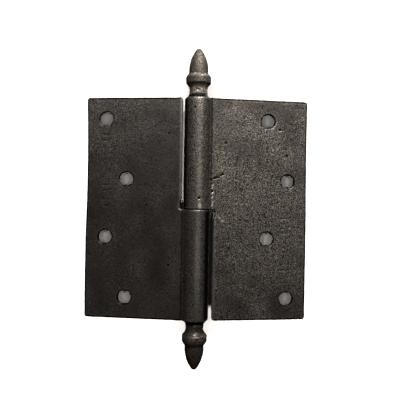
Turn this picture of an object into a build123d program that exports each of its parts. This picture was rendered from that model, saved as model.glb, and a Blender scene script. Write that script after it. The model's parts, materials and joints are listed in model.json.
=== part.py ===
"""Lift-off butt hinge of cast iron: two leaves, a pin and two acorn finials.

The pin axis is +Z and the joint between the two knuckles lies at z = 0. The backs of the leaves face -Y,
and each leaf leans a little towards +Y at its outer edge, as the open hinge lies on a flat surface.
"""

import os
from math import cos, radians, sin, sqrt

from build123d import *

# Leaves: nominal four and a half inches square, all in millimetres
leaf_height = 114.3
leaf_reach = 57.8
leaf_thickness = 3.0
closed_gap = 1.0
rest_tilt = 7.2
corner_radius = 1.4
back_edge_radius = 0.7
front_edge_radius = 0.3

# Knuckles, cast in one with the leaves
knuckle_diameter = 13.8
front_root_fillet = 1.0
root_strip_reach = 6.5
root_strip_rise = 0.6
root_strip_fillet = 0.6
root_strip_edge = 0.3
knuckle_edge = 0.4
shoulder_length = 2.2
shoulder_rise = 1.6
shoulder_bulge = 0.2
shoulder_end_diameter = 9.8

# Room beside the opposite knuckle, with a deeper relief at the joint
fixed_leaf_side_gap = 0.6
lift_off_leaf_side_gap = 1.5
relief_depth = 0.8
relief_height = 4.8
relief_slope_height = 1.6
relief_blend = 1.2
relief_corner = 0.7

# Screw holes, in two staggered columns, countersunk on the front
screw_hole_diameter = 7.0
countersink_diameter = 9.8
countersink_angle = 82.0
outer_column = 47.2
inner_column = 36.4
outer_row = 46.0
inner_row = 15.0

# Pin
pin_diameter = 6.35
pin_clearance = 0.05
pin_top_room = 1.0
pin_chamfer = 0.8

# Finials: a stem in the bore, then a foot, a neck that opens in a cove, a ring and an acorn
stem_length = 9.0
stem_clearance = 0.02
stem_chamfer = 0.6
foot_diameter = 9.6
foot_groove = 0.3
foot_height = 0.8
neck_diameter = 9.2
neck_height = 1.5
cove_height = 3.6
ring_diameter = 13.0
ring_band = 3.0
ring_edge_radius = 0.5
ring_top_diameter = 10.3
ring_top_height = 1.95
ring_top_bulge = 0.1
acorn_diameter = 9.9
acorn_straight = 1.9
acorn_side_height = 10.5
acorn_nose_diameter = 3.0

# Worked out from the sizes above
half_height = leaf_height / 2
knuckle_radius = knuckle_diameter / 2
bore_radius = pin_diameter / 2 + pin_clearance
back_offset = closed_gap / 2 + leaf_thickness
plate_middle = closed_gap / 2 + leaf_thickness / 2
strip_top = back_offset + root_strip_rise
knuckle_length = half_height + shoulder_rise
shoulder_start = knuckle_length - shoulder_length
stem_radius = bore_radius - stem_clearance
stem_end = knuckle_length - stem_length
pin_length = 2 * stem_end - pin_top_room


def leaf_casting(side, side_gap, name):
    """One leaf with its knuckle; side is +1 for the upper knuckle and -1 for the lower one."""
    along_leaf = (side * cos(radians(rest_tilt)), sin(radians(rest_tilt)), 0)
    # Across the knuckle: x along the leaf, y towards its front, z towards its knuckle end
    section = Plane(origin=(0, 0, 0), x_dir=along_leaf, z_dir=(0, 0, side))
    # Through the axis: x along the leaf, y towards the knuckle end
    lengthwise = Plane(origin=(0, 0, 0), x_dir=section.x_dir, z_dir=-section.y_dir)
    back_face = lengthwise.offset(back_offset)
    front_face = Plane(
        origin=section.from_local_coords((0, -closed_gap / 2, 0)),
        x_dir=section.x_dir,
        z_dir=section.y_dir,
    )
    knuckle_axis = Axis((0, 0, 0), section.z_dir)
    back_to_front = Axis((0, 0, 0), section.y_dir)
    free_edge = knuckle_radius + side_gap
    relief_start = (free_edge, -relief_height)
    relief_turn = (free_edge + relief_depth, -relief_height + relief_slope_height)
    relief_foot = (free_edge + relief_depth, 0)

    with BuildPart() as leaf:
        # Plate: cut away beside the opposite knuckle, with a deeper relief at the joint
        with BuildSketch(back_face):
            with BuildLine():
                Polyline(
                    (0, half_height),
                    (leaf_reach, half_height),
                    (leaf_reach, -half_height),
                    (free_edge, -half_height),
                    relief_start,
                    relief_turn,
                    relief_foot,
                    (0, 0),
                    close=True,
                )
            make_face()
            plate_corners = [(leaf_reach, half_height), (leaf_reach, -half_height), (free_edge, -half_height)]
            for corners, radius in (
                (plate_corners, corner_radius),
                ([relief_start, relief_turn], relief_blend),
                ([relief_foot], relief_corner),
            ):
                fillet([vertices().sort_by_distance(corner)[0] for corner in corners], radius=radius)
        extrude(amount=-leaf_thickness)
        for which, radius in ((0, back_edge_radius), (-1, front_edge_radius)):
            rim = leaf.faces().sort_by(back_to_front)[which].outer_wire().edges()
            fillet(rim.sort_by_distance((0, 0, side * half_height / 2))[1:], radius=radius)

        # Knuckle, with a low strip along its root on the back and the casting's fillets
        with BuildSketch(section):
            Circle(knuckle_radius)
            root_reach = knuckle_radius + front_root_fillet
            with Locations((root_reach / 2, -plate_middle)):
                Rectangle(root_reach, leaf_thickness)
            with Locations((root_strip_reach / 2, -strip_top / 2)):
                Rectangle(root_strip_reach, strip_top)
            for spot, radius in (
                ((sqrt(knuckle_radius**2 - strip_top**2), -strip_top), root_strip_fillet),
                ((root_strip_reach, -strip_top), root_strip_edge),
                ((sqrt(knuckle_radius**2 - closed_gap**2 / 4), -closed_gap / 2), front_root_fillet),
            ):
                fillet(vertices().sort_by_distance(spot)[0], radius=radius)
        extrude(amount=shoulder_start)

        # Knuckle end, its edge at the joint, and the bore
        with BuildSketch(lengthwise):
            with BuildLine():
                Line((0, shoulder_start), (knuckle_radius, shoulder_start))
                SagittaArc(
                    (knuckle_radius, shoulder_start),
                    (shoulder_end_diameter / 2, knuckle_length),
                    shoulder_bulge,
                )
                Line((shoulder_end_diameter / 2, knuckle_length), (0, knuckle_length))
                Line((0, knuckle_length), (0, shoulder_start))
            make_face()
        revolve(axis=knuckle_axis)
        with BuildSketch(lengthwise):
            Polygon(
                (knuckle_radius, 0),
                (knuckle_radius, knuckle_edge),
                (knuckle_radius - knuckle_edge, 0),
                align=None,
            )
        revolve(axis=knuckle_axis, mode=Mode.SUBTRACT)
        with BuildSketch(section):
            Circle(bore_radius)
        extrude(amount=knuckle_length, mode=Mode.SUBTRACT)

        # Screw holes
        hole_spots = [
            (inner_column, -outer_row),
            (outer_column, -inner_row),
            (inner_column, inner_row),
            (outer_column, outer_row),
        ]
        with Locations(*[front_face.location * Location((x, y, 0)) for x, y in hole_spots]):
            CounterSinkHole(
                screw_hole_diameter / 2,
                countersink_diameter / 2,
                depth=leaf_thickness,
                counter_sink_angle=countersink_angle,
            )
    leaf.part.label = name
    return leaf.part


def acorn_finial(side, name):
    """One finial; side is +1 for the upper one and -1 for the lower one."""
    profile = Plane(origin=(0, 0, 0), x_dir=(side, 0, 0), z_dir=(0, -1, 0))
    foot_top = knuckle_length + foot_height
    neck = (neck_diameter / 2, foot_top + neck_height)
    band_start = (ring_diameter / 2, neck[1] + cove_height)
    band_end = (ring_diameter / 2, band_start[1] + ring_band)
    ring_top = (ring_top_diameter / 2, band_end[1] + ring_top_height)
    acorn_start = (acorn_diameter / 2, ring_top[1] + acorn_straight)
    nose_start = (acorn_nose_diameter / 2, acorn_start[1] + acorn_side_height)
    # The nose is a ball end that runs on smoothly from the acorn's side, whose arc bends about a far centre
    narrowing = acorn_start[0] - nose_start[0]
    side_radius = (narrowing**2 + acorn_side_height**2) / (2 * narrowing)
    ball_drop = nose_start[0] * acorn_side_height / (side_radius - narrowing)
    tip = (0, nose_start[1] - ball_drop + sqrt(nose_start[0] ** 2 + ball_drop**2))

    with BuildPart() as finial:
        with BuildSketch(profile):
            with BuildLine():
                Polyline(
                    (0, stem_end),
                    (stem_radius - stem_chamfer, stem_end),
                    (stem_radius, stem_end + stem_chamfer),
                    (stem_radius, knuckle_length),
                    (foot_diameter / 2 - foot_groove, knuckle_length),
                    (foot_diameter / 2, knuckle_length + foot_groove),
                    (foot_diameter / 2, foot_top),
                )
                TangentArc(neck, (foot_diameter / 2, foot_top), tangent=(0, -1))
                TangentArc(neck, band_start, tangent=(0, 1))
                Line(band_start, band_end)
                SagittaArc(band_end, ring_top, -ring_top_bulge)
                Polyline(ring_top, (acorn_diameter / 2, ring_top[1]), acorn_start)
                acorn_side = TangentArc(acorn_start, nose_start, tangent=(0, 1))
                TangentArc(nose_start, tip, tangent=acorn_side % 1)
                Line(tip, (0, stem_end))
            make_face()
            ring_edges = [vertices().sort_by_distance(corner)[0] for corner in (band_start, band_end)]
            fillet(ring_edges, radius=ring_edge_radius)
        revolve(axis=Axis.Z)
    finial.part.label = name
    return finial.part


def round_pin(name):
    """The pin stands on the lower finial's stem and stops short of the upper one."""
    with BuildPart() as pin:
        with BuildSketch(Plane.XY.offset(-stem_end)):
            Circle(pin_diameter / 2)
        extrude(amount=pin_length)
        chamfer(pin.edges().filter_by(GeomType.CIRCLE), length=pin_chamfer)
    pin.part.label = name
    return pin.part


pieces = [
    leaf_casting(-1, fixed_leaf_side_gap, "fixed_leaf"),
    leaf_casting(1, lift_off_leaf_side_gap, "lift_off_leaf"),
    round_pin("hinge_pin"),
    acorn_finial(-1, "bottom_finial"),
    acorn_finial(1, "top_finial"),
]

os.makedirs("parts", exist_ok=True)
for piece in pieces:
    export_step(piece, f"parts/{piece.label}.step")
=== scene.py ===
"""Looks of an old lift-off butt hinge: sand-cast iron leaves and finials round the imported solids.

The scene is in metres in the hinge's own frame: the pin stands along +Z, and the backs of the leaves
face -Y. The castings are worked out in millimetres, as their sizes below are.
"""

import json
from math import cos, radians, sin
from types import SimpleNamespace

import bmesh
import bpy
import numpy as np
from mathutils import Matrix, Vector, noise


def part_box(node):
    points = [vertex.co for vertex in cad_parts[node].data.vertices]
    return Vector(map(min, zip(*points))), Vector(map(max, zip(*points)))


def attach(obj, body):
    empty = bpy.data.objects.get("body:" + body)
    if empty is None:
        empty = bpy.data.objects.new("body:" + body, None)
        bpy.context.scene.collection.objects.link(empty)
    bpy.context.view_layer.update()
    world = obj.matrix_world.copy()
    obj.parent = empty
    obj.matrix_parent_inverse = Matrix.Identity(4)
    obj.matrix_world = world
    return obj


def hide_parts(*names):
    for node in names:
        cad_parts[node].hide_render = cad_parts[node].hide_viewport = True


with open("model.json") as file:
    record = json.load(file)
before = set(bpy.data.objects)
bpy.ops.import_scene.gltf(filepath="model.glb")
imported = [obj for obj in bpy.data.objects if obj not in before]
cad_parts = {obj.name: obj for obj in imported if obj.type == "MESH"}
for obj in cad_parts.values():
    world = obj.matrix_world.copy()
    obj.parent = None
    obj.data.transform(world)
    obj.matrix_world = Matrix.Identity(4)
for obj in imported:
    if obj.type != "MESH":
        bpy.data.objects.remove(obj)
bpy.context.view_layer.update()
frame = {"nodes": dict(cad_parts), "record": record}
mounts = {mount["name"]: mount for mount in frame["record"]["mounts"]}

MM = 0.001

# Meshes of the castings: point spacing, how close points are merged, and how the even mesh is softened
LEAF_SPACING, FINIAL_SPACING = 0.435, 0.24
MERGE_DISTANCE = 0.001
SOFTEN_FACTOR, SOFTEN_ROUNDS = 0.5, 2
# How many times a point's surroundings are evened out before its height above them is taken
RELIEF_ROUNDS = 6
# A point belongs to the barrel, the bore or the stem up to this far outside the barrel's radius, or the
# pin's for the last two
BARREL_REACH, BORE_REACH, STEM_REACH = 0.3, 0.4, 0.2
# Room kept at the joint between the knuckles, round the pin and round the stems
JOINT_GAP, BORE_ROOM, STEM_ROOM = 0.06, 0.10, 0.03
# The back: how squarely a point has to face it, where that starts to count and counts in full, and how deep
# a point may lie
BACK_FACING, BACK_DEPTH = (0.7, 0.95), 0.5

# Each seed shifts the noise and the scattered pits by these steps, and the spread sets the chances of
# neighbouring pits apart
NOISE_STEPS, PIT_STEPS, CHANCE_SPREAD = (17.3, 5.1, 9.7), (3.7, 11.9, 7.3), 7.1
# A dent's flat floor, as a share of its width, and a scattered pit's floor and rim, as shares of the
# pits' spacing
DENT_FLOOR, PIT_RIM = 0.2, (0.04, 0.16)

# Skin of the leaves: size and height of its unevenness, its ripples and the sand's bumps, and the share of
# the bumps that is left between the coarse sand
SKIN_SIZE, SKIN_HEIGHT = 13.0, 0.07
RIPPLE_SIZE, RIPPLE_HEIGHT = 2.6, 0.03
BUMP_SIZE, BUMP_HEIGHT, BUMP_LEAST = 1.1, 0.028, 0.4
# Scattered pits: spacing, the share of the places that have one, depth
PIT_SPACING, PIT_SHARE, PIT_DEPTH = 5.0, 0.625, 0.13
# Coarse sand: size of its patches, how uneven they are, how much thinner it is away from its heart,
# where it starts and is full, and the least of it on the barrels
SAND_PATCH, SAND_UNEVEN, SAND_THINNER, SAND_RANGE = 11.0, 0.7, 0.3, (-0.7, 0.7)
BARREL_SAND = 0.7

# Skin of the finials, in the same order
FINIAL_SKIN_SIZE, FINIAL_SKIN_HEIGHT = 3.5, 0.05
FINIAL_BUMP_SIZE, FINIAL_BUMP_HEIGHT = 1.0, 0.04
FINIAL_PIT_SPACING, FINIAL_PIT_SHARE, FINIAL_PIT_DEPTH = 3.0, 0.7, 0.2

# Each leaf's own flaws, in millimetres and degrees.
# A pit on the back: reach from the pin axis, height, radius, depth.
# A fold or a ridge: reach and height of its points.
# A pit on the barrel: turn to the right of the middle, height, radius, depth.
# A painted highlight along the barrel where the lamp's sheen falls, or a worn spot: turn, height, half its
# width, half its length, how much.
# Painted shade on the barrel's side beside the other leaf: where it starts and is full, as shares of the
# radius.
# The free edge beside the other knuckle: how strong the painted highlight on it is.
# A bow of the outer edge: depth, height of its deepest place, half its length.
# Coarse sand: how much, and where it is thickest by reach, height and radius.
FIXED_LEAF = {
    "pits": [
        (14.4, 38.8, 0.7, 0.15), (13.7, -28.8, 0.8, 0.25), (11.7, -27.2, 0.5, 0.2), (25.7, 1.7, 0.5, 0.12),
    ],
    "folds": [],
    "ridges": [],
    "barrel_pits": [(-7.9, -48.0, 0.6, 0.3)],
    "barrel_highlights_and_worn_spot": [(7.0, -26.0, 2.2, 34.0, 0.22)],
    "side_shade": (0.35, 0.9),
    "free_edge_highlight": 0.2,
    "bow": (0.6, 20.0, 34.0),
    "sand": 0.85,
    "sand_heart": (54.0, 48.0, 26.0),
    "seed": 1,
}
LIFT_OFF_LEAF = {
    "pits": [
        (42.7, 41.9, 0.9, 0.3), (14.2, 34.2, 0.8, 0.3), (46.7, 28.5, 0.9, 0.2), (7.4, 9.2, 0.9, 0.12),
    ],
    "folds": [[(6.8, 15.4), (9.3, 16.3), (11.1, 17.1), (12.9, 18.2)]],
    "ridges": [[(8.6, -2.2), (10.7, -3.4), (13.5, -5.9)], [(7.7, 0.5), (7.5, 6.4), (7.7, 12.5)]],
    "barrel_pits": [(9.5, 5.8, 1.0, 0.3), (-13.9, 51.4, 0.7, 0.3)],
    "barrel_highlights_and_worn_spot": [(13.5, 1.4, 1.1, 3.0, 0.9), (12.0, 14.0, 2.2, 22.0, 0.1)],
    "side_shade": (0.6, 0.95),
    "free_edge_highlight": 0.2,
    "bow": (0.35, 34.0, 36.0),
    "sand": 1.0,
    "sand_heart": (38.0, -6.0, 44.0),
    "seed": 11,
}
# Folds and ridges wander off their lines and break up into spots, which start and are full at two values
# of the noise
FOLD_WIDTH, FOLD_DEPTH, FOLD_WANDER, FOLD_WANDER_SIZE = 0.8, 0.3, 0.5, 1.3
RIDGE_WIDTH, RIDGE_HEIGHT, RIDGE_FACING = 0.7, 0.12, (0.2, 0.6)
SPOT_SIZE, SPOT_RANGE, FINIAL_SPOT_RANGE = 1.0, (-0.25, 0.25), (-0.3, 0.4)
# The bow starts at this share of the leaf's reach
BOW_START = 0.85
# Plain worn strokes in a row along each leaf: the ends of each along the row, and up from its foot
WORN_STROKES = [
    [(0.8, 0.2), (0.8, 5.8)], [(3.9, 0.4), (3.0, 5.4)], [(7.6, 0.2), (7.6, 5.8)],
    [(10.4, 3.0), (10.4, 5.6)], [(17.6, 1.0), (19.6, 3.8)], [(26.6, 0.2), (26.6, 5.8)],
    [(29.6, 0.4), (28.8, 5.4)], [(34.2, 0.2), (34.2, 5.8)], [(37.2, 0.6), (37.2, 3.4)],
]
ROW_START, ROW_FOOT_REACH = 38.5, 49.0
# The strokes' size, then how worn away they are: size of the worn patches, the noise where they are worn
# most and least, and the share of the depth that is left
STROKE_WIDTH, STROKE_DEPTH = 0.55, 0.16
STROKE_WEAR_SIZE, STROKE_WEAR_RANGE, STROKE_LEAST = 4.0, (-0.4, 0.3), 0.5

# Rubbing, dirty hollows, painted highlights and painted shade raise or lower the height above the
# surroundings that the finish reads.
# Painted shade at the leaf's edges, beside the joint and on the knuckle's shoulder: width, how much.
# Painted shade in and round the screw holes: how much, and the distances from the hole's middle where it
# thins and ends.
RIDGE_RUB, FOLD_DIRT, PIT_DIRT = 0.7, 0.4, 0.3
EDGE_SHADE, JOINT_SHADE, SHOULDER_SHADE = (1.2, 0.9), (0.6, 0.4), (3.2, 0.17)
# Painted shade on the barrel's side beside the other leaf: how much
SIDE_SHADE = 0.2
HOLE_SHADE, HOLE_RIM = 0.4, (3.7, 4.4)
# The free edge's painted highlight: width, and its start below or above the joint
FREE_EDGE_WIDTH, FREE_EDGE_FROM = 0.5, 6.0

# Finials: sand, how strong the tip's worn and painted highlight is, and each band of painted highlight or,
# below zero, painted shade at the seam (distance from the joint, half the width, how much), and pits as a
# place, a radius and a depth
BOTTOM_FINIAL = {
    "sand": 0.4,
    "tip_worn_and_highlight": 0.0,
    "painted_light_rings": [(65.6, 1.4, 0.25), (59.0, 0.6, -0.12)],
    "pits": [],
    "seed": 21,
}
TOP_FINIAL = {
    "sand": 0.5,
    "tip_worn_and_highlight": 0.16,
    "painted_light_rings": [(68.4, 1.2, 0.45), (61.0, 2.2, 0.45), (59.4, 0.6, 0.4)],
    "pits": [((-0.04, -4.6, 61.0), 0.8, 0.35)],
    "seed": 31,
}
# Distances from the joint where the tip's worn and painted highlight starts and where it is strongest
TIP_START, TIP_BARE = 73.0, 80.0

# Iron: sizes of its specks, patches, rust stains and grain, the grain's height, and the tones of its grime
# specks, of dirty pits and painted shade, and of bare places and painted highlights
SPECK_SIZE, PATCH_SIZE, STAIN_SIZE, GRAIN_SIZE, GRAIN_HEIGHT = 0.4, 16.0, 6.0, 0.42, 0.07
GRIME, DARK_PITS_AND_SHADE, BARE_AND_HIGHLIGHT = "#141210", "#0b0a09", "#c4baac"
# How far the specks break up a bare place or painted highlight, and how far the grain, between two values,
# changes the roughness
SPECK_BREAK, GRAIN_RANGE, GRAIN_DULL = 0.6, (0.3, 0.7), 0.06
# Drawing marks on the pin: width, how much they are drawn out along it, depth
DRAW_WIDTH, DRAW_SQUEEZE, DRAW_DEPTH = 0.4, 0.03, 0.02

# Camera, fitted to the leaf edges and the screw holes in the photograph: millimetres and degrees
CAMERA_PLACE = (-2.54, -262.0, 4.91)
CAMERA_TURN = (-0.942, -0.032, -0.988)
CAMERA_ANGLE = 42.947

# Stage, in metres: the upright board behind the hinge, the floor, and what the camera can see
BOARD_Y, BOARD_HALF = 1.2, 0.9
FLOOR_Z, FLOOR_HALF = -0.9, 6.0
NEAREST_SEEN, FARTHEST_SEEN = 0.01, 20

# Lamps of the hinge: degrees to the right of the front and up, distance and size in metres, power in watts
HINGE_LAMPS = {
    "key": (20, 46, 0.45, 0.1, 3.4),
    "fill": (-30, 45, 0.3, 0.1, 0.17),
    "back": (150, 35, 0.7, 0.3, 7.0),
    "low_left": (-40, -33, 0.45, 0.25, 0.03),
    "low_right": (45, -22, 0.45, 0.25, 0.03),
}
# Lamps for the board alone, round the camera: one towards each corner, far enough out to miss the board
# behind the screw holes, and a dim one on each side that shines through the holes and misses the upright
# gaps
CORNER_OUT, CORNER_UP = 0.0053, 0.0086
CORNER_WIDTH, CORNER_HEIGHT, CORNER_POWER = 0.0034, 0.0029, 32
NEAR_OUT, NEAR_WIDTH, NEAR_HEIGHT, NEAR_POWER = 0.00275, 0.0022, 0.0012, 5.3
# One more shines through the fixed leaf's narrow gap, from where the camera's view of that gap passes
GAP_PLACE, GAP_SIZE, GAP_POWER = (-0.00487, -0.131, 0.0), 0.001, 12
# The floor has its own lamp, high above
OVERHEAD_PLACE, OVERHEAD_SIZE, OVERHEAD_POWER = (0, 0, 9), 6, 700
# The room is pale to look at, and dim when it is mirrored and as a light
ROOM_PALE, ROOM_MIRRORED, ROOM_LIGHT = 0.8, 0.045, 0.006


def linear(hex_colour):
    """An sRGB hex colour as linear RGBA."""
    channels = [int(hex_colour[i:i + 2], 16) / 255 for i in (1, 3, 5)]
    return [c / 12.92 if c <= 0.04045 else ((c + 0.055) / 1.055) ** 2.4 for c in channels] + [1.0]


def add_node(tree, kind, sockets=None, **settings):
    """Add a shader node with its settings; each socket gets a value or a link from an output."""
    made = tree.nodes.new(kind)
    for name, value in settings.items():
        setattr(made, name, value)
    for name, value in (sockets or {}).items():
        if isinstance(value, bpy.types.NodeSocket):
            tree.links.new(value, made.inputs[name])
        else:
            made.inputs[name].default_value = value
    return made


def new_material(name):
    """An empty node material and its tree."""
    material = bpy.data.materials.new(name)
    material.use_nodes = True
    material.node_tree.nodes.clear()
    return material, material.node_tree


# Shapes

def smooth_step(low, high, values):
    """A smooth rise from 0, where the values are low, to 1, where they are high."""
    share = np.clip((values - low) / (high - low), 0, 1)
    return share * share * (3 - 2 * share)


def noise_at(points, size, seed):
    """Smooth noise from about -1 to 1 at points in millimetres, with bumps of that size."""
    shift = Vector([seed * step for step in NOISE_STEPS])
    return np.array([noise.noise(Vector(p) / size + shift) for p in points])


def pits_at(points, size, share, seed):
    """Scattered round pits: 1 at a pit's middle, 0 away from it. Only a share of the places has one."""
    shift = Vector([seed * step for step in PIT_STEPS])
    away = np.ones(len(points))
    for i, p in enumerate(points):
        distances, places = noise.voronoi(Vector(p) / size + shift)
        # Cell noise gives each place a chance from -1 to 1
        if noise.cell(places[0] * CHANCE_SPREAD) < 2 * share - 1:
            away[i] = distances[0]
    return 1 - smooth_step(*PIT_RIM, away)


def distance_to_line(flat, line):
    """Distance from points on a plane to a run of straight strokes."""
    nearest = np.full(len(flat), np.inf)
    for start, end in zip(line[:-1], line[1:]):
        start, run = np.array(start), np.array(end) - np.array(start)
        share = np.clip(((flat - start) @ run) / (run @ run), 0, 1)
        nearest = np.minimum(nearest, np.linalg.norm(flat - start - share[:, None] * run, axis=1))
    return nearest


def dent(away, width, depth):
    """Depth of a dent with sloping sides, by the distance from its middle."""
    return depth * (1 - smooth_step(DENT_FLOOR * width, width, away))


def barrel_spot(turn, place, radius):
    """A point on a barrel from its turn to the right of the middle and its height."""
    return np.array([sin(radians(turn)) * radius, -cos(radians(turn)) * radius, place])


def even_copy(node, spacing):
    """A merged copy of a CAD node's mesh, remade with evenly spaced points."""
    form = bmesh.new()
    form.from_mesh(frame["nodes"][node].data)
    bmesh.ops.remove_doubles(form, verts=form.verts, dist=MERGE_DISTANCE * MM)
    mesh = bpy.data.meshes.new(node + "_even")
    form.to_mesh(mesh)
    form.free()
    source = bpy.data.objects.new(node + "_even", mesh)
    bpy.context.scene.collection.objects.link(source)
    remesh = source.modifiers.new("even_mesh", "REMESH")
    remesh.mode = "VOXEL"
    remesh.voxel_size = spacing * MM
    soften = source.modifiers.new("soften", "SMOOTH")
    soften.factor = SOFTEN_FACTOR
    soften.iterations = SOFTEN_ROUNDS
    made = bpy.data.meshes.new_from_object(source.evaluated_get(bpy.context.evaluated_depsgraph_get()))
    bpy.data.objects.remove(source)
    bpy.data.meshes.remove(mesh)
    made.name = node + "_casting"
    return made


def mesh_arrays(mesh):
    """Points in millimetres, and point normals."""
    points = np.empty(len(mesh.vertices) * 3)
    mesh.vertices.foreach_get("co", points)
    normals = np.empty(len(mesh.vertices) * 3)
    mesh.vertex_normals.foreach_get("vector", normals)
    return points.reshape(-1, 3) / MM, normals.reshape(-1, 3)


def keep_values(mesh, name, values):
    """Keep one number per point on the mesh, for the finish to read."""
    mesh.attributes.new(name, "FLOAT", "POINT").data.foreach_set("value", values.astype(np.float32))


def relief_of(mesh, points, normals):
    """Each point's height above its smoothed surroundings, in millimetres."""
    edges = np.empty(len(mesh.edges) * 2, np.int32)
    mesh.edges.foreach_get("vertices", edges)
    first, second = edges.reshape(-1, 2).T
    count = np.bincount(edges, minlength=len(points))[:, None]
    level = points
    for _ in range(RELIEF_ROUNDS):
        total = np.zeros_like(points)
        np.add.at(total, first, level[second])
        np.add.at(total, second, level[first])
        level = total / count
    return ((points - level) * normals).sum(axis=1)


def finish_casting(node, mesh, points, sand, rubbing_and_painted_light, material, body):
    """Write the moved points, inside the CAD node's own box, and put the casting in the node's place."""
    low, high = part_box(node)
    points = np.clip(points, np.array(low) / MM, np.array(high) / MM)
    mesh.vertices.foreach_set("co", (points * MM).ravel())
    mesh.update()
    # The kept height also carries the worn places, painted highlights and painted shade
    keep_values(mesh, "height_rubbing_and_painted_light", relief_of(mesh, points, mesh_arrays(mesh)[1]) + rubbing_and_painted_light)
    keep_values(mesh, "sand", sand)
    mesh.shade_smooth()
    mesh.materials.clear()
    mesh.materials.append(material)
    piece = bpy.data.objects.new(node + "_casting", mesh)
    bpy.context.scene.collection.objects.link(piece)
    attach(piece, body)
    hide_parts(node)


def leaf_places(leaf, points, normals):
    """Where a leaf's points lie: how far along and up, on its back, on its barrel and in its bore."""
    mount = mounts[leaf + "_back"]
    side = np.sign(mount["pos_m"][0])
    outward = np.array(mount["axis"])
    along = np.array([-outward[1], outward[0], 0.0]) * side
    back = np.dot(mount["pos_m"], outward) / MM
    facing = normals @ outward
    shallow = smooth_step(back - BACK_DEPTH, back, points @ outward)
    radius = np.linalg.norm(points[:, :2], axis=1)
    knuckle_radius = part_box(leaf)[1].y / MM
    pin_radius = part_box("hinge_pin")[1].x / MM
    return SimpleNamespace(
        side=side,
        along=along,
        flat=np.stack([points @ along, points[:, 2]], axis=1),
        facing=facing,
        on_back=smooth_step(*BACK_FACING, facing) * shallow,
        radius=radius,
        knuckle_radius=knuckle_radius,
        on_barrel=radius < knuckle_radius + BARREL_REACH,
        pin_radius=pin_radius,
        in_bore=radius < pin_radius + BORE_REACH,
    )


def leaf_skin(points, at, flaws):
    """A leaf's coarse sand, from 0 to 1, and the height of its skin."""
    seed = flaws["seed"]
    reach, place, width = flaws["sand_heart"]
    thick = np.exp(-(np.linalg.norm(at.flat - np.array([reach, place]), axis=1) / width) ** 2)
    patches = SAND_UNEVEN * noise_at(points, SAND_PATCH, seed)
    sand = flaws["sand"] * smooth_step(*SAND_RANGE, patches + thick - SAND_THINNER)
    sand = np.where(at.on_barrel, np.maximum(sand, BARREL_SAND), sand)
    height = SKIN_HEIGHT * noise_at(points, SKIN_SIZE, seed + 1)
    height += RIPPLE_HEIGHT * noise_at(points, RIPPLE_SIZE, seed + 2)
    height += BUMP_HEIGHT * (BUMP_LEAST + sand) * noise_at(points, BUMP_SIZE, seed + 3)
    height -= PIT_DEPTH * pits_at(points, PIT_SPACING, PIT_SHARE, seed)
    return sand, height


def leaf_marks(points, at, flaws):
    """Height of a leaf's pits, folds, ridges and strokes, and how much they are lighter from rubbing or,
    below zero, darker where dirty.
    """
    seed = flaws["seed"]
    height = np.zeros(len(points))
    rub = np.zeros(len(points))
    hollows = []
    for reach, place, width, depth in flaws["pits"]:
        away = np.linalg.norm(at.flat - np.array([reach, place]), axis=1)
        hollows.append((depth, at.on_back * dent(away, width, 1.0)))
    for turn, place, width, depth in flaws["barrel_pits"]:
        away = np.linalg.norm(points - barrel_spot(turn, place, at.knuckle_radius), axis=1)
        hollows.append((depth, dent(away, width, 1.0)))
    for depth, hollow in hollows:
        height -= depth * hollow
        rub -= PIT_DIRT * hollow

    wander = [noise_at(points, FOLD_WANDER_SIZE, seed + 5), noise_at(points, FOLD_WANDER_SIZE, seed + 6)]
    wandered = at.flat + FOLD_WANDER * np.stack(wander, axis=1)
    spots = smooth_step(*SPOT_RANGE, noise_at(points, SPOT_SIZE, seed + 7))
    for fold in flaws["folds"]:
        crack = at.on_back * spots * dent(distance_to_line(wandered, fold), FOLD_WIDTH, 1.0)
        height -= FOLD_DEPTH * crack
        rub -= FOLD_DIRT * crack
    faces_back = smooth_step(*RIDGE_FACING, at.facing)
    for ridge in flaws["ridges"]:
        crest = faces_back * spots * dent(distance_to_line(wandered, ridge), RIDGE_WIDTH, 1.0)
        height += RIDGE_HEIGHT * crest
        rub += RIDGE_RUB * crest

    row = np.stack([ROW_START + at.side * at.flat[:, 1], ROW_FOOT_REACH - at.flat[:, 0]], axis=1)
    left = smooth_step(*STROKE_WEAR_RANGE, noise_at(points, STROKE_WEAR_SIZE, seed + 4))
    left = STROKE_LEAST + (1 - STROKE_LEAST) * left
    for stroke in WORN_STROKES:
        height -= at.on_back * left * dent(distance_to_line(row, stroke), STROKE_WIDTH, STROKE_DEPTH)
    return height, rub


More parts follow.
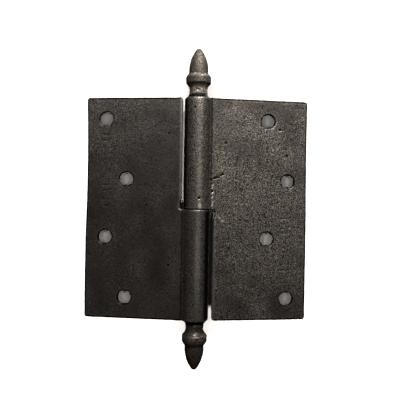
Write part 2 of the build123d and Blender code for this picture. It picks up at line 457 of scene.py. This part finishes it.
def leaf_painted_light_and_rubbing(leaf, points, at, flaws):
    """Painted highlights along a leaf's barrel and on its free edge, and a worn spot, less painted shade at
    its edges, ends, joint, barrel side and holes.
    """
    rub = np.zeros(len(points))
    # Painted highlights along the barrel where the lamp's sheen falls, and a worn spot near the joint
    for turn, place, half_width, half_length, amount in flaws["barrel_highlights_and_worn_spot"]:
        away = points - barrel_spot(turn, place, at.knuckle_radius)
        across = np.linalg.norm(away[:, :2], axis=1)
        rub += dent(np.hypot(across / half_width, away[:, 2] / half_length), 1.0, amount)
    # A painted highlight on the free edge beside the other knuckle, whose side the lamp lights
    reach, up = at.flat.T
    beside = at.side * up < -FREE_EDGE_FROM
    free_edge = dent(reach - reach[beside].min(), FREE_EDGE_WIDTH, flaws["free_edge_highlight"])
    rub += np.where(beside, free_edge, 0)

    # The plate is as long on both sides of the joint, and on the far side nothing stands past its end
    plate_end = abs(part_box(leaf)[0 if at.side > 0 else 1].z / MM)
    # Painted shade along the leaf's edges, beside the joint and on the knuckle's shoulder
    on_edge = dent(np.minimum(reach.max() - reach, plate_end - abs(up)), *EDGE_SHADE)
    on_joint = dent(abs(up), *JOINT_SHADE)
    on_shoulder = dent(abs(up).max() - abs(up), *SHOULDER_SHADE)
    # Painted shade on the barrel's side that faces the other leaf
    inward = -at.side * points[:, 0] / at.knuckle_radius
    beside_other = SIDE_SHADE * smooth_step(*flaws["side_shade"], inward)
    on_barrel = np.maximum(np.maximum(on_joint, on_shoulder), beside_other)
    painted_shade = np.where(at.on_barrel, on_barrel, on_edge)
    # Painted shade in and round the screw holes
    for opening in frame["record"]["physics"]["openings"]:
        middle = np.mean(opening["box_m"], axis=0) / MM
        away = np.linalg.norm(at.flat - np.array([middle @ at.along, middle[2]]), axis=1)
        painted_shade = np.maximum(painted_shade, HOLE_SHADE * (1 - smooth_step(*HOLE_RIM, away)))
    return rub - painted_shade


def cast_leaf(leaf, body, material, flaws):
    """One leaf with its knuckle: sand, uneven skin, pits, casting folds, ridges and worn strokes."""
    mesh = even_copy(leaf, LEAF_SPACING)
    points, normals = mesh_arrays(mesh)
    at = leaf_places(leaf, points, normals)
    sand, skin = leaf_skin(points, at, flaws)
    marks, rub = leaf_marks(points, at, flaws)
    height = np.where(at.in_bore, 0, skin + marks)
    points = points + height[:, None] * normals
    rubbing_and_painted_light = rub + leaf_painted_light_and_rubbing(leaf, points, at, flaws)

    # The outer edge bows in, the bore stays wide of the pin, and the knuckle ends just short of the joint
    bow_depth, bow_place, bow_half = flaws["bow"]
    near_edge = smooth_step(BOW_START, 1, at.flat[:, 0] / at.flat[:, 0].max())
    bowed = np.clip(1 - ((at.flat[:, 1] - bow_place) / bow_half) ** 2, 0, 1)
    points = points - (bow_depth * near_edge * bowed)[:, None] * at.along
    widen = np.maximum(1, (at.pin_radius + BORE_ROOM) / np.maximum(at.radius, BORE_ROOM))
    points[at.in_bore, :2] *= widen[at.in_bore, None]
    points[at.on_barrel, 2] = at.side * np.maximum(at.side * points[at.on_barrel, 2], JOINT_GAP)
    finish_casting(leaf, mesh, points, sand, rubbing_and_painted_light, material, body)


def cast_finial(node, body, material, flaws):
    """One acorn finial with the same sand and a few pits; its tip is worn and given a painted highlight,
    and each band is a painted highlight or painted shade.
    """
    mesh = even_copy(node, FINIAL_SPACING)
    points, normals = mesh_arrays(mesh)
    seed = flaws["seed"]
    pin_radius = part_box("hinge_pin")[1].x / MM
    outside = np.linalg.norm(points[:, :2], axis=1) > pin_radius + STEM_REACH
    height = FINIAL_SKIN_HEIGHT * noise_at(points, FINIAL_SKIN_SIZE, seed)
    height += FINIAL_BUMP_HEIGHT * noise_at(points, FINIAL_BUMP_SIZE, seed + 1)
    height -= FINIAL_PIT_DEPTH * pits_at(points, FINIAL_PIT_SPACING, FINIAL_PIT_SHARE, seed)
    for place, width, depth in flaws["pits"]:
        height -= dent(np.linalg.norm(points - np.array(place), axis=1), width, depth)
    spots = smooth_step(*FINIAL_SPOT_RANGE, noise_at(points, SPOT_SIZE, seed + 7))
    from_joint = abs(points[:, 2])
    # The tip is worn and given a painted highlight; each band is a painted highlight or, below zero,
    # painted shade
    rub = flaws["tip_worn_and_highlight"] * smooth_step(TIP_START, TIP_BARE, from_joint)
    for place, half_width, amount in flaws["painted_light_rings"]:
        rub += dent(abs(from_joint - place), half_width, amount)
    points = points + np.where(outside, height, -STEM_ROOM)[:, None] * normals
    sand = np.full(len(points), flaws["sand"])
    finish_casting(node, mesh, points, sand, rub * spots, material, body)


# Finishes

def cast_iron(name, dark, middle, light, rust, roughness):
    """Old sand-cast iron, oxidised dark: a dull metal sheen, lighter where it stands proud, worn or given
    painted highlights, dark in dirty pits and where shade is painted.

    The sand's grain is drawn about half a millimetre coarse, near the finest that the picture can show.
    """
    material, tree = new_material(name)
    place = add_node(tree, "ShaderNodeTexCoord").outputs["Object"]
    height_rubbing_and_painted_light = add_node(tree, "ShaderNodeAttribute", attribute_name="height_rubbing_and_painted_light").outputs["Fac"]
    sand = add_node(tree, "ShaderNodeAttribute", attribute_name="sand").outputs["Fac"]
    grains = []
    for size, detail in ((PATCH_SIZE, 4.0), (STAIN_SIZE, 3.0), (SPECK_SIZE, 0.0), (GRAIN_SIZE, 0.0)):
        sockets = {"Vector": place, "Scale": 1 / (size * MM), "Detail": detail}
        grains.append(add_node(tree, "ShaderNodeTexNoise", sockets).outputs["Fac"])
    patches, stains, specks, grain = grains
    sockets = {0: specks, 1: SPECK_BREAK, 2: height_rubbing_and_painted_light}
    bare_and_highlight = add_node(tree, "ShaderNodeMath", sockets, operation="MULTIPLY_ADD").outputs[0]
    # Each layer lies over the one before: what places it, where it starts and is full, its most, its colour
    layers = [
        (patches, 0.35, 0.65, 1.0, middle),
        (stains, 0.52, 0.75, 0.5, rust),
        (specks, 0.5, 0.66, sand, light),
        (specks, 0.5, 0.34, 0.55, GRIME),
        # Lighter where it stands proud, worn or given a painted highlight
        (height_rubbing_and_painted_light, 0.01, 0.14, 0.35, light),
        # Bare iron where worn, and painted highlights on the barrels, free edges and finials
        (bare_and_highlight, 0.5, 0.9, 0.9, BARE_AND_HIGHLIGHT),
        # Dark iron in dirty pits, and painted shade at edges, joint, shoulders, barrel sides, holes and a
        # finial seam
        (height_rubbing_and_painted_light, -0.02, -0.14, 0.95, DARK_PITS_AND_SHADE),
    ]
    colour = linear(dark)
    for value, start, full, most, over in layers:
        sockets = {"Value": value, "From Min": start, "From Max": full, "To Max": most}
        share = add_node(tree, "ShaderNodeMapRange", sockets).outputs["Result"]
        sockets = {0: share, 6: colour, 7: linear(over)}
        colour = add_node(tree, "ShaderNodeMix", sockets, data_type="RGBA").outputs[2]
    dull = add_node(tree, "ShaderNodeMapRange", {
        "Value": grain, "From Min": GRAIN_RANGE[0], "From Max": GRAIN_RANGE[1],
        "To Min": roughness - GRAIN_DULL, "To Max": roughness + GRAIN_DULL})
    bump = add_node(tree, "ShaderNodeBump", {
        "Height": grain, "Strength": 1.0, "Distance": GRAIN_HEIGHT * MM})
    shader = add_node(tree, "ShaderNodeBsdfPrincipled", {
        "Base Color": colour, "Roughness": dull.outputs["Result"], "Metallic": 0.85,
        "Specular IOR Level": 0.1, "Specular Tint": linear("#404040"), "Normal": bump.outputs["Normal"]})
    add_node(tree, "ShaderNodeOutputMaterial", {"Surface": shader.outputs["BSDF"]})
    return material


def drawn_steel():
    """Drawn steel rod, dulled by old oil: fine marks along its length, drawn wide enough to show."""
    material, tree = new_material("drawn_steel")
    place = add_node(tree, "ShaderNodeTexCoord").outputs["Object"]
    stretched = add_node(tree, "ShaderNodeMapping", {"Vector": place, "Scale": (1, 1, DRAW_SQUEEZE)})
    sockets = {"Vector": stretched.outputs["Vector"], "Scale": 1 / (DRAW_WIDTH * MM), "Detail": 3.0}
    marks = add_node(tree, "ShaderNodeTexNoise", sockets).outputs["Fac"]
    sockets = {0: marks, 6: linear("#5d5853"), 7: linear("#8b857e")}
    tone = add_node(tree, "ShaderNodeMix", sockets, data_type="RGBA")
    bump = add_node(tree, "ShaderNodeBump", {
        "Height": marks, "Strength": 0.4, "Distance": DRAW_DEPTH * MM})
    shader = add_node(tree, "ShaderNodeBsdfPrincipled", {
        "Base Color": tone.outputs[2], "Roughness": 0.38, "Metallic": 1.0,
        "Normal": bump.outputs["Normal"]})
    add_node(tree, "ShaderNodeOutputMaterial", {"Surface": shader.outputs["BSDF"]})
    return material


# Pieces, each casting in its own iron: dark, middle and light tone, rust, roughness

fixed_iron = cast_iron("cast_iron_fixed_leaf", "#3f3b38", "#504b47", "#857d74", "#4b3e35", 0.42)
lift_off_iron = cast_iron("cast_iron_lift_off_leaf", "#3a3633", "#4a4541", "#a2988c", "#4a3c33", 0.42)
# The top finial's iron is given lighter tones than the bottom finial's, partly as painted light from above
# and painted shade below
bottom_iron = cast_iron("cast_iron_bottom_finial", "#36312d", "#453f3a", "#8c8175", "#483b30", 0.44)
top_iron = cast_iron("cast_iron_top_finial", "#423c38", "#504a44", "#9c9186", "#52453b", 0.66)
frame["nodes"]["hinge_pin"].data.materials.clear()
frame["nodes"]["hinge_pin"].data.materials.append(drawn_steel())

cast_leaf("fixed_leaf", "fixed_half", fixed_iron, FIXED_LEAF)
cast_leaf("lift_off_leaf", "lift_off_half", lift_off_iron, LIFT_OFF_LEAF)
cast_finial("bottom_finial", "fixed_half", bottom_iron, BOTTOM_FINIAL)
cast_finial("top_finial", "lift_off_half", top_iron, TOP_FINIAL)

# Camera

camera = bpy.data.objects.new("camera", bpy.data.cameras.new("camera"))
bpy.context.scene.collection.objects.link(camera)
camera_place = Vector(CAMERA_PLACE) * MM
yaw, pitch, roll = (radians(angle) for angle in CAMERA_TURN)
turn = Matrix.Rotation(yaw, 4, "Z") @ Matrix.Rotation(pitch, 4, "X") @ Matrix.Rotation(roll, 4, "Y")
camera.matrix_world = Matrix.Translation(camera_place) @ turn @ Matrix.Rotation(radians(90), 4, "X")
camera.data.angle = radians(CAMERA_ANGLE)
camera.data.clip_start = NEAREST_SEEN
camera.data.clip_end = FARTHEST_SEEN
bpy.context.scene.camera = camera


# Stage

def plane_piece(name, corners, material):
    """A flat stage piece from its corners."""
    form = bmesh.new()
    form.faces.new([form.verts.new(corner) for corner in corners])
    mesh = bpy.data.meshes.new(name)
    form.to_mesh(mesh)
    form.free()
    mesh.materials.append(material)
    piece = bpy.data.objects.new(name, mesh)
    bpy.context.scene.collection.objects.link(piece)
    return piece


def kinds_of_ray(tree):
    """Whether a ray comes from the camera, and whether it was mirrored or went through something clear."""
    path = add_node(tree, "ShaderNodeLightPath")
    sockets = {0: path.outputs["Is Glossy Ray"], 1: path.outputs["Is Transmission Ray"]}
    mirrored = add_node(tree, "ShaderNodeMath", sockets, operation="MAXIMUM")
    return path.outputs["Is Camera Ray"], mirrored.outputs[0]


def pale_matt(name, colour, mirrored_tone, scattered_tone):
    """Pale matt paint on one side: it has lamps of its own, and it throws little light on the hinge."""
    material, tree = new_material(name)
    seen, mirrored = kinds_of_ray(tree)
    sockets = {0: mirrored, 6: linear(scattered_tone), 7: linear(mirrored_tone)}
    tone = add_node(tree, "ShaderNodeMix", sockets, data_type="RGBA")
    sockets = {0: seen, 6: tone.outputs[2], 7: linear(colour)}
    tone = add_node(tree, "ShaderNodeMix", sockets, data_type="RGBA")
    front = add_node(tree, "ShaderNodeBsdfDiffuse", {"Color": tone.outputs[2]})
    clear = add_node(tree, "ShaderNodeBsdfTransparent")
    back = add_node(tree, "ShaderNodeNewGeometry").outputs["Backfacing"]
    mixed = add_node(tree, "ShaderNodeMixShader", {0: back, 1: front.outputs[0], 2: clear.outputs[0]})
    add_node(tree, "ShaderNodeOutputMaterial", {"Surface": mixed.outputs[0]})
    return material


board = plane_piece("board", [(-BOARD_HALF, BOARD_Y, FLOOR_Z), (BOARD_HALF, BOARD_Y, FLOOR_Z),
                              (BOARD_HALF, BOARD_Y, BOARD_HALF), (-BOARD_HALF, BOARD_Y, BOARD_HALF)],
                    pale_matt("pale_board", "#c9c3be", "#808080", "#404040"))
floor = plane_piece("floor", [(-FLOOR_HALF, -FLOOR_HALF, FLOOR_Z), (FLOOR_HALF, -FLOOR_HALF, FLOOR_Z),
                              (FLOOR_HALF, FLOOR_HALF, FLOOR_Z), (-FLOOR_HALF, FLOOR_HALF, FLOOR_Z)],
                    pale_matt("pale_floor", "#e7e5e3", "#595959", "#202020"))


# Light

def soft_lamp(name, place, width, height, power):
    """A round or oval soft lamp aimed at the hinge."""
    data = bpy.data.lights.new(name, "AREA")
    data.shape = "ELLIPSE"
    data.size = width
    data.size_y = height
    data.energy = power
    lamp = bpy.data.objects.new(name, data)
    lamp.location = place
    lamp.rotation_mode = "QUATERNION"
    lamp.rotation_quaternion = (-Vector(place)).to_track_quat("-Z", "Y")
    lamp.visible_camera = False
    bpy.context.scene.collection.objects.link(lamp)
    return lamp


def hinge_lamp(name, right, up, distance, size, power):
    """A soft lamp for the hinge, by its turn to the right of the front and up; it passes the board by."""
    way = Vector((sin(right) * cos(up), -cos(right) * cos(up), sin(up)))
    lamp = soft_lamp(name, way * distance, size, size, power)
    others = bpy.data.collections.new(name + "_leaves_out")
    others.objects.link(board)
    others.collection_objects[0].light_linking.link_state = "EXCLUDE"
    lamp.light_linking.receiver_collection = others
    lamp.light_linking.blocker_collection = others


def stage_lamp(lamp, piece):
    """Let a lamp light that stage piece alone."""
    lit = bpy.data.collections.new(lamp.name + "_lights")
    lit.objects.link(piece)
    lamp.light_linking.receiver_collection = lit


for name, (right, up, distance, size, power) in HINGE_LAMPS.items():
    hinge_lamp(name, radians(right), radians(up), distance, size, power)
for side, word in ((-1, "left"), (1, "right")):
    place = camera_place + Vector((side * NEAR_OUT, 0, 0))
    stage_lamp(soft_lamp(f"near_{word}", place, NEAR_WIDTH, NEAR_HEIGHT, NEAR_POWER), board)
    for up in (-CORNER_UP, CORNER_UP):
        place = camera_place + Vector((side * CORNER_OUT, 0, up))
        stage_lamp(soft_lamp(f"corner_{word}", place, CORNER_WIDTH, CORNER_HEIGHT, CORNER_POWER), board)
stage_lamp(soft_lamp("gap_lamp", GAP_PLACE, GAP_SIZE, GAP_SIZE, GAP_POWER), board)
stage_lamp(soft_lamp("floor_lamp", OVERHEAD_PLACE, OVERHEAD_SIZE, OVERHEAD_SIZE, OVERHEAD_POWER), floor)

world = bpy.data.worlds.new("studio")
bpy.context.scene.world = world
world.use_nodes = True
world.node_tree.nodes.clear()
room = world.node_tree
seen, mirrored = kinds_of_ray(room)
strength = add_node(room, "ShaderNodeMix", {0: mirrored, 2: ROOM_LIGHT, 3: ROOM_MIRRORED})
strength = add_node(room, "ShaderNodeMix", {0: seen, 2: strength.outputs[0], 3: ROOM_PALE})
sky = add_node(room, "ShaderNodeBackground", {"Color": (1, 1, 1, 1), "Strength": strength.outputs[0]})
add_node(room, "ShaderNodeOutputWorld", {"Surface": sky.outputs[0]})

bpy.context.scene.view_settings.view_transform = "Standard"
